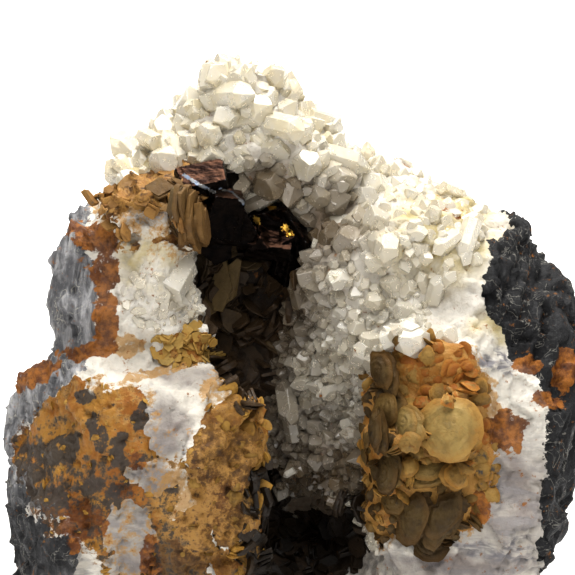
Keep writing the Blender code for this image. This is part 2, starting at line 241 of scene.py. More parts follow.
def distances(points):
    """How far each point is from each rock solid, as one column for each."""
    columns = []
    for name in ROCK:
        near = tree_of(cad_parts[name].data)
        columns.append([near.find_nearest(Vector(p))[3] for p in points / 1000])
    return np.array(columns).T * 1000


def ridged(noise_values):
    """Noise whose zero crossings become sharp ridges."""
    return 1 - 2 * np.abs(noise_values)


def stretched(points, normal, ratio):
    """Points squeezed along everything but the normal, so that noise over them runs in sheets."""
    n = np.array(normal, float)
    n /= norm(n)
    along = points @ n
    flat = points - along[:, None] * n
    return flat / ratio + along[:, None] * n


def shape_skin(points, normal, away):
    """The rough surface of each mineral, and the mineral that each point belongs to."""
    wobble = np.stack([fbm(points, 3.4, 3, 50 + i) for i in range(len(ROCK))], 1)
    lean = away + 0.75 * wobble
    zone = lean.argmin(1)
    rank = lean - lean.min(1)[:, None]

    quartz = facets(points, 5.2, 0.3, 3) * 0.55 + facets(points, 2.1, 0.34, 4) * 0.6
    quartz += 0.28 * fbm(points, 1.4, 2, 9)
    quartz += 0.8 * fbm(points, 11.0, 2, 12)
    quartz += facets(points, 9.0, 0.3, 13) * 0.8 * smoothstep(points[:, 1], 6, 12)
    sheets_l = stretched(points, (0.93, -0.1, 0.32), 4.5)
    sheets_r = stretched(points, (0.9, 0.1, -0.42), 5.0)
    schist_l = 0.75 * ridged(perlin(sheets_l, 2.8, 21)) + 0.4 * ridged(perlin(sheets_l, 1.1, 22))
    schist_r = 0.85 * ridged(perlin(sheets_r, 3.0, 23)) + 0.4 * ridged(perlin(sheets_r, 1.0, 24))
    lumps = 0.7 * fbm(points, 6.0, 2, 27)
    schist_l += lumps + facets(points, 3.2, 0.34, 28) * 0.8
    schist_r += lumps + facets(points, 3.4, 0.36, 29) * 0.9
    crust = 0.75 * fbm(points, 4.2, 3, 31) + facets(points, 1.7, 0.36, 32) * 0.6
    crust -= 0.7 * smoothstep(perlin(points, 2.0, 33), 0.35, 0.6)
    layers = points @ np.array((-0.22, -0.25, 0.94)) + 0.8 * fbm(points, 5.0, 2, 35)
    step = layers / 1.9
    ledge = (step - np.floor(step)) * 1.9 - 0.9 + 0.4 * fbm(points, 2.0, 2, 36)
    ledge += facets(points, 2.0, 0.34, 37) * 0.8 + facets(points, 1.1, 0.4, 39) * 0.5
    base = 0.35 * fbm(points, 2.5, 2, 38) - 0.25

    heights = (quartz, base - 0.3, schist_l, schist_r, ledge, crust, crust * 0.8, base, base)
    weights = [1 - smoothstep(rank[:, index], 0.0, 1.4) for index in range(len(ROCK))]
    move = sum(weight * height for weight, height in zip(weights, heights)) / sum(weights)
    standing = smoothstep(points[:, 2], 0.3, 2.4)
    moved = points + normal * (move * standing)[:, None]
    order = np.sort(lean, 1)
    best, second = order[:, :1], order[:, 1:2]
    inside = np.where(lean == best, second - lean, best - lean)
    return np.clip(moved, LOW + INSET, HIGH - INSET), zone, inside


def set_float(mesh, name, values):
    layer = mesh.attributes.new(name, "FLOAT", "POINT")
    layer.data.foreach_set("value", np.asarray(values, np.float32))


def mesh_of(name, points, faces, smooth=True):
    mesh = bpy.data.meshes.new(name)
    mesh.from_pydata((points / 1000).tolist(), [], faces.tolist())
    mesh.polygons.foreach_set("use_smooth", np.full(len(mesh.polygons), smooth))
    mesh.update()
    return mesh


def split_skin(mesh, points, zone, fields):
    """One object for each mineral, cut from the shared skin."""
    quads = read(mesh.polygons, "vertices", 4, np.int32)
    face_zone = zone[quads[:, 0]]
    made = []
    for index, name in enumerate(ROCK):
        own = quads[face_zone == index]
        used, flat = np.unique(own.ravel(), return_inverse=True)
        piece = add_object(name + "_skin", mesh_of(name, points[used], flat.reshape(-1, 4)))
        for field, values in fields.items():
            set_float(piece.data, field, values[used])
        made.append(piece)
    return made


# Crystals


def cut_solid(planes, bevel=0.0):
    """Points and triangles of the solid that lies inside all the planes."""
    ways = np.array([way for way, _ in planes], float)
    ends = np.array([end for _, end in planes], float)
    bm = bmesh.new()
    seen = set()
    for trio in itertools.combinations(range(len(planes)), 3):
        chosen = ways[list(trio)]
        if abs(np.linalg.det(chosen)) < 1e-5:
            continue
        corner = np.linalg.solve(chosen, ends[list(trio)])
        key = tuple(np.round(corner, 4))
        if (ways @ corner <= ends + 1e-6).all() and key not in seen:
            seen.add(key)
            bm.verts.new(corner)
    hull = bmesh.ops.convex_hull(bm, input=bm.verts[:])
    bmesh.ops.delete(bm, geom=list({*hull["geom_interior"]} & {*bm.verts}), context="VERTS")
    bmesh.ops.dissolve_limit(bm, angle_limit=0.01, verts=bm.verts[:], edges=bm.edges[:])
    if bevel:
        bmesh.ops.bevel(
            bm, geom=bm.edges[:] + bm.verts[:], offset=bevel, segments=1, profile=0.5, affect="EDGES"
        )
    bmesh.ops.triangulate(bm, faces=bm.faces[:])
    bm.verts.ensure_lookup_table()
    points = np.array([v.co[:] for v in bm.verts])
    faces = np.array([[v.index for v in f.verts] for f in bm.faces])
    bm.free()
    return points, faces


QUARTZ_SLOPE = 51.8
TURN = 6.3


def quartz_template(bevel=0.0):
    """A six-sided point of unit radius with its shoulder near z = 0 and uneven faces, like real quartz."""
    planes = [((0, 0, -1), 2.4)]
    slope = radians(QUARTZ_SLOPE)
    start = rng.integers(2)
    for i in range(6):
        a = pi / 3 * i
        planes.append(((cos(a), sin(a), 0), 0.866 * rng.uniform(0.82, 1.1)))
        late = rng.uniform(0.12, 0.5) if (i + start) % 2 else rng.uniform(0.0, 0.12)
        way = (sin(slope) * cos(a), sin(slope) * sin(a), cos(slope))
        planes.append((way, (1.1 + late) * cos(slope)))
    return cut_solid(planes, bevel)


def lens_template(spokes, rings, power=None):
    """A thin lens of siderite of unit radius: a rounded rhomb, bent, with growth steps and a sharp rim."""
    angle = np.arange(spokes) * 2 * pi / spokes
    power = power or rng.uniform(1.15, 1.9)
    c, s = np.cos(angle), np.sin(angle)
    outline = (np.abs(c) ** power + np.abs(s) ** power) ** (-1 / power)
    for k in (3, 5, 8):
        outline *= 1 + 0.05 / k * 2 * np.sin(k * angle + rng.uniform(0, TURN))
    outline *= 1 + rng.normal(0, 0.028, spokes)
    outline[rng.integers(spokes)] *= rng.uniform(0.72, 0.9)
    x, y = c * outline, s * outline
    bend, saddle, tilt = rng.uniform(-0.3, 0.05), rng.uniform(-0.16, 0.16), rng.normal(0, 0.03, 2)
    points = []
    for side in (1, -1):
        wave = rng.uniform(0, TURN)
        for ring in rings[:-1]:
            step = 0.03 * sin(ring * 19 + wave)
            high = 0.3 * (1 - ring**2.2) + step + rng.normal(0, 0.012, spokes)
            points.append(np.stack([x * ring, y * ring, side * high], 1))
    points.append(np.stack([x, y, np.zeros(spokes)], 1))
    points = np.concatenate(points + [np.array([(0, 0, 0.3), (0, 0, -0.3)])])
    points[:, 2] += bend * points[:, 0] ** 2 + saddle * (points[:, 0] ** 2 - points[:, 1] ** 2)
    points[:, 2] += points[:, :2] @ tilt
    inner = len(rings) - 1
    faces = []
    for side in (0, 1):
        path = [side * inner + k for k in range(inner)] + [2 * inner]
        for a, b in zip(path[:-1], path[1:]):
            for i in range(spokes):
                j = (i + 1) % spokes
                quad = [a * spokes + i, b * spokes + i, b * spokes + j, a * spokes + j]
                quad = quad[::-1] if side else quad
                faces += [[quad[0], quad[1], quad[2]], [quad[0], quad[2], quad[3]]]
        top = (2 * inner + 1) * spokes + side
        for i in range(spokes):
            j = (i + 1) % spokes
            pair = [path[0] * spokes + i, path[0] * spokes + j]
            faces.append([top] + (pair[::-1] if side else pair))
    return points, np.array(faces)


def plate_template():
    """A thin, sharp-edged rhombic plate of siderite, one unit in half width and half length."""
    lean = radians(rng.uniform(26, 44))
    planes = [((0.05 * rng.normal(), 0.05 * rng.normal(), z), 0.13) for z in (1, -1)]
    for a in (lean, -lean, pi - lean, pi + lean):
        planes.append(((cos(a), sin(a), rng.uniform(-0.3, 0.3)), rng.uniform(0.8, 1.15)))
    planes += [((0, 1, 0.1), rng.uniform(1.0, 1.7)), ((0, -1, 0.1), rng.uniform(1.0, 1.7))]
    planes += [((1, 0.1, 0), rng.uniform(0.95, 1.3)), ((-1, 0.1, 0), rng.uniform(0.95, 1.3))]
    points, faces = cut_solid(planes, 0.03)
    points[:, :2] /= np.abs(points[:, :2]).max(0)
    points[:, 2] += rng.uniform(-0.12, 0.0) * points[:, 0] ** 2
    return points, faces


def terraced():
    """A larger lens whose faces rise in thin concentric growth steps."""
    rings = (0.12, 0.28, 0.31, 0.48, 0.51, 0.66, 0.69, 0.82, 0.85, 0.95, 1.0)
    points, faces = lens_template(26, rings, rng.uniform(1.6, 2.1))
    far = np.hypot(points[:, 0], points[:, 1])
    side = np.sign(points[:, 2])
    stairs = sum(0.022 * (1 - smoothstep(far, edge - 0.03, edge + 0.03)) for edge in (0.28, 0.47, 0.65, 0.81))
    points[:, 2] = points[:, 2] * 0.72 + side * stairs
    return points, faces


def rim_of(points):
    """0 over a lens's middle and 1 at its rim."""
    return smoothstep(np.hypot(points[:, 0], points[:, 1]), 0.6, 0.95)


def turn_to(way, roll):
    """Columns are the axes of a template whose z axis points along the way."""
    z = np.array(way, float)
    z /= norm(z)
    side = np.cross(z, (0, 0, 1.0))
    side = np.array((1.0, 0, 0)) if norm(side) < 1e-3 else side / norm(side)
    up = np.cross(z, side)
    c, s = cos(roll), sin(roll)
    return np.stack([c * side + s * up, c * up - s * side, z], 1)


# A crystal that pokes out of the CAD box is pushed back by up to this much, and is left out beyond that.
MOST_PUSH = 2.6


class Crop:
    """Crystals gathered into one mesh."""

    def __init__(self):
        self.points = []
        self.faces = []
        self.fields = {}
        self.count = 0

    def add(self, template, place, axes, scale, **fields):
        shape, faces = template
        moved = (shape * scale) @ axes.T + place
        low, high = moved.min(0), moved.max(0)
        push = np.maximum(LOW + 3 * INSET - low, 0) + np.minimum(HIGH - 3 * INSET - high, 0)
        if norm(push) > MOST_PUSH:
            return
        self.points.append(moved + push)
        self.faces.append(faces + self.count)
        for name, value in fields.items():
            values = np.broadcast_to(np.asarray(value, float), (len(shape),))
            self.fields.setdefault(name, []).append(values)
        self.count += len(shape)

    def object(self, name, smooth_angle=None):
        points, faces = np.concatenate(self.points), np.concatenate(self.faces)
        mesh = mesh_of(name, points, faces, smooth_angle is not None)
        if smooth_angle:
            mesh.set_sharp_from_angle(angle=radians(smooth_angle))
        obj = add_object(name, mesh)
        for field, values in self.fields.items():
            set_float(mesh, field, np.concatenate(values))
        return obj


def sow(where, spacing):
    """Some of the points there, each its own spacing away from the ones before it."""
    keys = np.floor(points / spacing[where].max()).astype(int)
    grid = {}
    kept = []
    for i in rng.permutation(np.flatnonzero(where)):
        x, y, z = keys[i]
        p = points[i]
        room = spacing[i] ** 2
        if not any(
            (q[0] - p[0]) ** 2 + (q[1] - p[1]) ** 2 + (q[2] - p[2]) ** 2 < room
            for dx, dy, dz in NEIGHBOURS
            for q in grid.get((x + dx, y + dy, z + dz), ())
        ):
            grid.setdefault((x, y, z), []).append(tuple(p))
            kept.append(i)
    return kept


def spread(amount):
    return rng.normal(0, amount, 3)


# The photograph's width in pixels, a pixel's size, and the camera's distance, target height and tilt.
PHOTO = 575
MIDDLE = PHOTO / 2
PIXEL = 0.16
FAR = 450
AIM_HEIGHT = 53.5
TILT = radians(20)
EYE = np.array((0, -FAR * cos(TILT), AIM_HEIGHT + FAR * sin(TILT)))
UP = np.array((0, sin(TILT), cos(TILT)))


def at(px, py, tree):
    """The rock's point under a pixel of the photograph."""
    aim = np.array(((px - MIDDLE) * PIXEL, 0, AIM_HEIGHT)) + UP * (MIDDLE - py) * PIXEL
    way = aim - EYE
    hit = tree.ray_cast(Vector(EYE / 1000), Vector(way / norm(way)))[0]
    return None if hit is None else np.array(hit) * 1000


def facing_way(azimuth, elevation):
    """A direction: azimuth 0 faces the camera's side and 90 the right."""
    a, e = radians(azimuth), radians(elevation)
    return np.array((sin(a) * cos(e), -cos(a) * cos(e), sin(e)))


# Materials


class Nodes:
    """Builds a material's node tree with short calls."""

    def __init__(self, name):
        self.material = bpy.data.materials.new(name)
        self.material.use_nodes = True
        self.tree = self.material.node_tree
        self.shader = self.tree.nodes["Principled BSDF"]
        self.place = self.add("TexCoord", "Object", {})

    def add(self, kind, output, inputs, **settings):
        """The output of a new node, whose inputs are given by name or number."""
        node = self.tree.nodes.new("ShaderNode" + kind)
        for key, value in settings.items():
            setattr(node, key, value)
        for key, value in inputs.items():
            self.link(value, node.inputs[key])
        return node.outputs[output]

    def link(self, value, socket):
        if isinstance(value, bpy.types.NodeSocket):
            self.tree.links.new(value, socket)
        elif socket.type == "RGBA":
            socket.default_value = (*value, 1.0)
        else:
            socket.default_value = value

    def stretch(self, scale, turn):
        turn = [radians(t) for t in turn]
        return self.add("Mapping", "Vector", {"Vector": self.place, "Rotation": turn, "Scale": scale})

    def noise(self, size, detail=3.0, rough=0.55, place=None, distortion=0.0):
        """Noise from 0 to 1 whose lumps are about size millimetres."""
        inputs = {"Vector": place or self.place, "Scale": 1000.0 / size, "Detail": detail}
        return self.add("TexNoise", "Fac", inputs | {"Roughness": rough, "Distortion": distortion})

    def field(self, name):
        return self.add("Attribute", "Fac", {}, attribute_name=name)

    def math(self, operation, a, b=0.5):
        return self.add("Math", 0, {0: a, 1: b}, operation=operation)

    def plus(self, a, b):
        return self.math("ADD", a, b)

    def times(self, a, b):
        return self.math("MULTIPLY", a, b)

    def ramp(self, value, low, high, out_low=0.0, out_high=1.0):
        inputs = {"Value": value, "From Min": low, "From Max": high, "To Min": out_low, "To Max": out_high}
        return self.add("MapRange", 0, inputs, interpolation_type="SMOOTHSTEP")

    def swing(self, noise, amount, low=0.25, high=0.75):
        """Noise as a wobble from -amount to amount."""
        return self.ramp(noise, low, high, -amount, amount)

    def mix(self, factor, a, b, blend="MIX"):
        return self.add("Mix", 2, {0: factor, 6: a, 7: b}, data_type="RGBA", blend_type=blend)

    def bump(self, height, depth_mm):
        return self.add("Bump", "Normal", {"Distance": depth_mm / 1000.0, "Height": height})

    def set(self, **values):
        for key, value in values.items():
            self.link(value, self.shader.inputs[key.replace("_", " ")])


def siderite_colour(m, broad, mid, fine, dark, low, light):
    """Broad patches of two colours, with dark blotches and small light ones."""
    colour = m.mix(m.ramp(broad, 0.36, 0.64), low, light)
    colour = m.mix(m.ramp(mid, 0.49, 0.64, 0.0, 0.9), colour, dark)
    return m.mix(m.ramp(fine, 0.55, 0.75, 0.0, 0.5), colour, light)


def rock_material(name, glow=0.0):
    """Every mineral of the rock. Borders are where smooth fields meet noise, so that pieces match."""
    m = Nodes(name)
    broad = m.noise(7.0, 4.0, 0.6)
    mid = m.noise(2.2, 5.0, 0.68)
    fine = m.noise(0.8, 5.0, 0.7)
    sheets = m.noise(1.6, 5.0, 0.65, m.stretch((1.0, 0.25, 0.25), (0, 20, 0)), 0.8)
    streaks = m.noise(2.4, 4.0, 0.6, m.stretch((0.35, 1.0, 1.4), (0, 14, 0)), 0.6)
    ragged = m.plus(m.swing(mid, 0.9), m.swing(fine, 0.5))

    def inside(zone):
        """How much a point is inside a mineral, with a ragged border."""
        return m.ramp(m.plus(m.field(zone), ragged), -0.12, 0.16)

    def patch(name, low, high, amount, top=1.0):
        """How much a point is in a field's patches, with a border as ragged as the amount."""
        rough = m.plus(m.swing(mid, amount), m.swing(fine, amount * 0.6))
        return m.ramp(m.plus(m.field(name), rough), low, high, 0.0, top)

    quartz = m.mix(m.ramp(broad, 0.35, 0.65), (0.6, 0.565, 0.5), (0.74, 0.7, 0.63))
    lilac = m.times(m.field("lilac"), m.ramp(broad, 0.35, 0.6, 0.55, 1.0))
    quartz = m.mix(lilac, quartz, (0.27, 0.235, 0.215))
    cream = m.times(m.field("cream"), m.ramp(broad, 0.3, 0.6))
    quartz = m.mix(cream, quartz, (0.47, 0.39, 0.2))
    # Grey streaks where the grey field is.
    shade = m.times(m.field("grey"), m.ramp(streaks, 0.4, 0.62))
    quartz = m.mix(shade, quartz, (0.2, 0.19, 0.2))
    quartz = m.mix(m.ramp(streaks, 0.56, 0.74, 0.0, 0.35), quartz, (0.36, 0.345, 0.35))

    pale = m.field("pale")
    dark = m.mix(pale, (0.004, 0.004, 0.005), (0.1, 0.1, 0.106))
    light = m.mix(pale, (0.018, 0.018, 0.02), (0.45, 0.445, 0.45))
    schist = m.mix(m.ramp(sheets, 0.38, 0.72), dark, light)
    line = m.math("ABSOLUTE", m.math("SUBTRACT", m.noise(4.5, 3.0, 0.6, None, 1.2), 0.5))
    lines = m.times(m.ramp(line, 0.016, 0.0), m.ramp(broad, 0.4, 0.56))
    schist = m.mix(m.times(lines, m.ramp(pale, 0, 1, 0.45, 0.95)), schist, (0.42, 0.4, 0.35))
    flecks = m.times(m.ramp(fine, 0.56, 0.68), m.ramp(pale, 0, 1, 0.15, 0.6))
    schist = m.mix(flecks, schist, (0.3, 0.3, 0.3))

    brown, ochre, tan, black = (
        siderite_colour(m, broad, mid, fine, *colours)
        for colours in (
            ((0.035, 0.017, 0.008), (0.17, 0.07, 0.015), (0.34, 0.175, 0.042)),
            ((0.085, 0.036, 0.011), (0.28, 0.105, 0.012), (0.38, 0.195, 0.032)),
            ((0.11, 0.045, 0.01), (0.33, 0.135, 0.018), (0.42, 0.235, 0.06)),
            ((0.006, 0.004, 0.003), (0.02, 0.012, 0.006), (0.06, 0.036, 0.018)),
        )
    )
    layers = m.noise(1.5, 4.0, 0.65, m.stretch((0.3, 0.3, 1.6), (14, 0, 0)), 0.6)
    brown = m.mix(m.ramp(layers, 0.5, 0.6, 0.0, 0.85), brown, (0.045, 0.02, 0.007))
    # Painted shade: the ochre of the lower lining is darkened.
    lining_shade = m.times(m.field("lining_shade"), m.ramp(mid, 0.35, 0.6, 0.95, 0.45))
    ochre = m.mix(lining_shade, ochre, (0.055, 0.024, 0.006))

    # Painted shade: quartz turns dark brown near the pocket and lower down.
    quartz = m.mix(m.times(m.field("deep"), 0.85), quartz, (0.17, 0.115, 0.065))
    colour = m.mix(inside("in_schist"), quartz, schist)
    for field, mineral in (("in_brown", brown), ("in_ochre", ochre), ("in_tan", tan), ("in_dark", black)):
        colour = m.mix(inside(field), colour, mineral)
    colour = m.mix(patch("stain", 0.45, 0.95, 0.5, 0.8), colour, (0.44, 0.25, 0.07))
    tint = m.mix(m.ramp(mid, 0.4, 0.6), (0.13, 0.04, 0.006), (0.33, 0.125, 0.014))
    tint = m.mix(m.ramp(fine, 0.52, 0.7, 0.0, 0.7), tint, (0.075, 0.03, 0.012))
    colour = m.mix(patch("orange", 0.3, 0.62, 0.48, 0.95), colour, tint)
    # Dark grey where the grey field is, but not on the ochre siderite.
    grey_wash = m.times(patch("grey", 0.3, 0.75, 0.5, 0.92), m.ramp(m.field("in_ochre"), -0.8, 0.2))
    colour = m.mix(grey_wash, colour, (0.045, 0.04, 0.036))
    specks = m.ramp(m.noise(0.55, 4.0, 0.7), 0.6, 0.68, 0.0, 0.8)
    colour = m.mix(m.times(specks, m.ramp(m.field("in_ochre"), -0.2, 0.4)), colour, (0.045, 0.028, 0.018))
    rough = m.plus(m.ramp(fine, 0.3, 0.7, 0.36, 0.7), m.ramp(m.field("in_schist"), 0.2, -0.2, 0.1, 0.0))
    relief = m.plus(m.plus(m.noise(0.5, 4.0, 0.7), fine), m.times(sheets, 0.6))
    m.set(Base_Color=colour, Roughness=rough, Specular_IOR_Level=0.4, Normal=m.bump(relief, 0.24))
    if glow:
        m.set(Subsurface_Weight=glow, Subsurface_Scale=0.0012, Subsurface_Radius=(1.0, 0.85, 0.7))
    return m.material


def crystal_material():
    """Cloudy quartz that lets half of the light through, warmer at the top, with painted brown shade near the
    pocket and lower down.
    """
    m = Nodes("quartz_crystal")
    cloud = m.noise(2.2, 3.0, 0.6)
    colour = m.mix(m.field("tone"), (0.95, 0.885, 0.75), (0.99, 0.955, 0.87))
    warm = m.times(m.field("warm"), m.ramp(cloud, 0.3, 0.7))
    colour = m.mix(warm, colour, (0.97, 0.87, 0.62))
    # Painted shade near the pocket and lower down.
    deep = m.times(m.field("deep"), m.ramp(cloud, 0.2, 0.7, 0.85, 1.0))
    colour = m.mix(deep, colour, (0.17, 0.11, 0.05))
    rough = m.ramp(m.noise(0.9, 3.0, 0.6), 0.35, 0.7, 0.12, 0.3)
    m.set(Base_Color=colour, Roughness=rough, Transmission_Weight=0.48, IOR=1.54)
    m.set(Normal=m.bump(m.noise(0.6, 3.0, 0.6), 0.03))
    return m.material


def siderite_material(name, dark, mid, light, rust, pale, rim=None, rough=0.62):
    """Weathered siderite: brown to yellow, paler at the crystals' rims, with dark and rusty patches."""
    m = Nodes(name)
    broad = m.noise(4.5, 4.0, 0.65)
    fine = m.noise(1.0, 5.0, 0.7)
    colour = m.mix(m.ramp(broad, 0.35, 0.62), mid, light)
    colour = m.mix(m.ramp(m.noise(1.8, 5.0, 0.7), 0.52, 0.7, 0.0, 0.9), colour, dark)
    edge = m.plus(m.field("orange"), m.swing(fine, 0.4))
    colour = m.mix(m.ramp(edge, 0.45, 0.85), colour, rust)
    grey = m.plus(m.field("grey"), m.swing(m.noise(1.5, 5.0, 0.7), 0.45))
    colour = m.mix(m.ramp(grey, 0.4, 0.6), colour, (0.06, 0.055, 0.052))
    colour = m.mix(m.times(m.field("rim"), 0.6), colour, rim or light)
    middle = m.times(m.field("light"), m.math("SUBTRACT", 1.0, m.times(m.field("rim"), 0.7)))
    colour = m.mix(m.times(middle, m.ramp(broad, 0.3, 0.65, 0.55, 1.0)), colour, pale)
    colour = m.mix(1.0, colour, m.ramp(m.field("shade"), 0, 1, 1.0, 0.26), "MULTIPLY")
    rough = m.ramp(fine, 0.3, 0.7, rough - 0.12, rough + 0.15)
    relief = m.plus(m.noise(0.45, 4.0, 0.7), fine)
    m.set(Base_Color=colour, Roughness=rough, Specular_IOR_Level=0.35, Normal=m.bump(relief, 0.14))
    return m.material


def attach(obj, material, node):
    """Gives a piece its material, its body and the node that it stands in for."""
    obj.data.materials.clear()
    obj.data.materials.append(material)
    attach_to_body(obj, "root")
    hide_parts(node)


# The rock

skin = make_skin()
flat_points = coords(skin.data)
flat_x, flat_y, flat_z = flat_points.T
flat_normals = normals(skin.data)
away = distances(flat_points)
soft = add_object("soft", skin.data.copy())
modify(soft, "SMOOTH", factor=0.5, iterations=30)
steady_normals = normals(soft.data)
bpy.data.objects.remove(soft, do_unlink=True)


def seen_at(points):
    """Each point's pixel in the photograph."""
    from_eye = points - EYE
    depth = from_eye @ np.array((0, cos(TILT), -sin(TILT)))
    scale = FAR / depth / PIXEL
    return MIDDLE + from_eye[:, 0] * scale, MIDDLE - (from_eye @ UP) * scale


pixel_x, pixel_y = seen_at(flat_points)
facing = smoothstep(flat_normals @ (EYE / norm(EYE)), -0.35, 0.0)
front = facing * (1 - smoothstep(flat_y, 12, 16))
in_pocket = facing * (1 - smoothstep(flat_y, 20, 26))
ragged = 0.3 * fbm(flat_points, 6.0, 4, 91)
ragged_fine = 0.35 * fbm(flat_points, 2.2, 3, 95)


def spots(table, soft=0.12, where=front):
    """How much each point is in a table's ragged ellipses."""
    inside = np.full(len(flat_points), -9.0)
    for cx, cy, rx, ry, *turn in table:
        turn = radians(turn[0]) if turn else 0
        c, s = cos(turn), sin(turn)
        u = pixel_x - cx
        v = pixel_y - cy
        apart = np.hypot((u * c + v * s) / rx, (v * c - u * s) / ry)
        rough = (ragged + ragged_fine) * min(1.0, 25.0 / min(rx, ry))
        inside = np.maximum(inside, 1 - apart + rough * 0.9)
    return smoothstep(inside, -soft, soft) * where


# Ragged ellipses on the photograph: centre, half width and half height in pixels, any turn in degrees.
# The recess lies in shade: it is given to the near-black blades and darkened, as painted shade.
RECESS_SHADE = [(300, 548, 66, 38), (262, 500, 20, 40), (352, 520, 14, 30)]
POCKET = [(243, 300, 44, 74), (248, 368, 24, 42, -10)]
BLACK_ROCK = [
    (528, 300, 48, 42, 25), (512, 248, 14, 16, 30), (560, 335, 22, 40), (566, 405, 16, 42),
    (556, 500, 15, 60, 8), (78, 290, 20, 62), (30, 400, 16, 52, 32), (36, 545, 44, 48),
]
WHITE_ROCK = [
    (135, 372, 50, 14, -20), (188, 388, 42, 18, 10), (168, 425, 24, 30, -20), (152, 478, 24, 18),
    (128, 535, 26, 42),
]
LOBE_CRUST = [
    (68, 446, 54, 56, -25), (88, 405, 50, 24, -15), (70, 500, 40, 40), (214, 470, 28, 58), (206, 540, 34, 44),
]
WHITE_EDGE = [(492, 220, 20, 22), (482, 335, 14, 20)]
BLOCK_TOP = [(138, 226, 44, 19, -6), (160, 262, 30, 22)]
TOOTHED = [(186, 348, 38, 19)]
RUST = [
    (98, 240, 22, 16, 10), (104, 272, 14, 24), (106, 315, 11, 32), (90, 352, 24, 8, -10),
    (526, 366, 15, 8, 5), (562, 370, 10, 20), (545, 400, 16, 9, 20), (507, 431, 22, 20), (481, 508, 11, 20),
    (446, 208, 8, 5, 20), (456, 216, 5, 4), (137, 461, 8, 11), (84, 522, 22, 22), (124, 492, 16, 8),
    (150, 557, 10, 20), (40, 378, 26, 10, -25),
]
STAIN = [
    (130, 345, 20, 12), (160, 372, 50, 6, -15), (480, 410, 20, 40), (120, 205, 40, 12), (213, 392, 16, 12),
    (180, 505, 30, 40),
]
DARK_SPOTS = [
    (58, 452, 24, 15, -20), (44, 496, 24, 12, 10), (100, 440, 10, 12), (112, 500, 9, 14),
    (144, 415, 19, 13, -35), (117, 448, 9, 20, 20), (28, 474, 15, 12), (92, 486, 16, 8, -20),
    (92, 425, 4, 14), (84, 397, 9, 7), (170, 488, 13, 7, 20), (70, 447, 12, 7), (50, 455, 6, 9),
    (30, 450, 10, 6), (517, 541, 17, 6, 15), (490, 550, 60, 9), (508, 362, 30, 13), (440, 362, 8, 9),
]
ORANGE_TOP = [(440, 360, 45, 42), (470, 420, 24, 30)]
CREAM = [(150, 260, 30, 26), (440, 230, 60, 50), (500, 325, 28, 18), (130, 160, 30, 14)]
LILAC = [
    (148, 216, 34, 12), (190, 380, 36, 10, 10), (165, 430, 26, 26), (130, 540, 28, 40), (150, 480, 26, 20),
    (500, 500, 60, 50), (450, 565, 80, 14),
]


def claim(index, mask):
    """Gives the mask's points to one mineral."""
    away[:, index] = away[:, index] * (1 - mask) - 3.5 * mask


claim(CRUST, spots(LOBE_CRUST))
claim(VEIN, np.maximum(spots(WHITE_ROCK), spots(BLOCK_TOP)))
behind = smoothstep(flat_y, 7, 12) * (1 - smoothstep(flat_z, 58, 66))
wings = np.abs(flat_x + 2) + 9.0 * perlin(flat_points, 16.0, 99)
wings += 3.0 * fbm(flat_points, 5.0, 3, 100)
behind *= np.maximum(
    smoothstep(wings, 23.5, 25.5),
    smoothstep(perlin(flat_points, 15.0, 103) + 0.2 * ragged, 0.36, 0.44)
    * smoothstep(flat_normals[:, 1], 0.3, 0.7),
)
schist = np.maximum(spots(BLACK_ROCK), behind)
claim(SCHIST_L, schist * (flat_x < 0))
claim(SCHIST_R, schist * (flat_x >= 0))
side = (1 - smoothstep(flat_x, -40, -33)) + smoothstep(flat_x, 36, 41)
away[:, SCHIST_L] += np.where(flat_x < 0, -4.0 * side * (1 - front), 0)
away[:, SCHIST_R] += np.where(flat_x > 0, -4.0 * side, 0)
claim(CRUST, spots(TOOTHED))
claim(VEIN, spots(WHITE_EDGE))
# Painted shade: the recess is given to the near-black blades.
claim(BLADES, spots(RECESS_SHADE + POCKET))
points, zone, inside = shape_skin(flat_points, flat_normals, away)
height = points[:, 2]
set_coords(skin.data, points)

edge_noise = fbm(points, 6.0, 2, 71)
# Painted shade: brown near the pocket's blades, lower down and over listed spots, where the pocket lies in
# shade.
deep = np.maximum(
    0.92 * (1 - smoothstep(away[:, BLADES] + 2.0 * edge_noise, 1.0, 14.0)),
    1 - smoothstep(height + 2.0 * edge_noise, 20, 46),
)
deep *= (1 - smoothstep(away[:, DRUSE], 1.0, 4.0)) * in_pocket
deep = np.maximum(deep, spots([(325, 500, 46, 30), (350, 480, 24, 34)]))
deep = np.maximum(deep, spots([(270, 186, 46, 26, 10), (322, 226, 38, 42, 40)], 0.8, in_pocket))
near_siderite = away[:, [STACK, CRUST, LINING, ROSETTE]].min(1)
stain = np.maximum(spots(STAIN), 0.6 * (1 - smoothstep(near_siderite, 0.3, 2.0)))
back_stain = (1 - front) * smoothstep(perlin(flat_points, 12.0, 97), 0.15, 0.5)
back_dark = (1 - front) * smoothstep(perlin(flat_points, 9.0, 98), 0.2, 0.45) * 0.7
dark = np.maximum(spots(DARK_SPOTS), back_dark)
grey_free = 1 - spots([(225, 470, 52, 105)], 0.3)
fields = {
    "orange": np.maximum(spots(RUST), 0.7 * back_stain),
    "stain": np.maximum(stain, back_stain),
    # Grey over the listed dark spots, and greyer towards the bottom and at the back, but not over the lining.
    "grey": np.maximum(dark, 0.5 * grey_free * np.maximum(1 - smoothstep(height, 30, 45), 1 - front)),
    "cream": spots(CREAM, 0.5),
    "lilac": spots(LILAC, 0.5),
    "pale": (1 - smoothstep(points[:, 0], -10, 10)) * (1 - 0.9 * spots([(36, 545, 46, 52)], 0.3)),
    "deep": deep,
    # Painted shade over the lower lining.
    "lining_shade": spots([(222, 490, 50, 80), (180, 555, 40, 30)], 0.5),
}
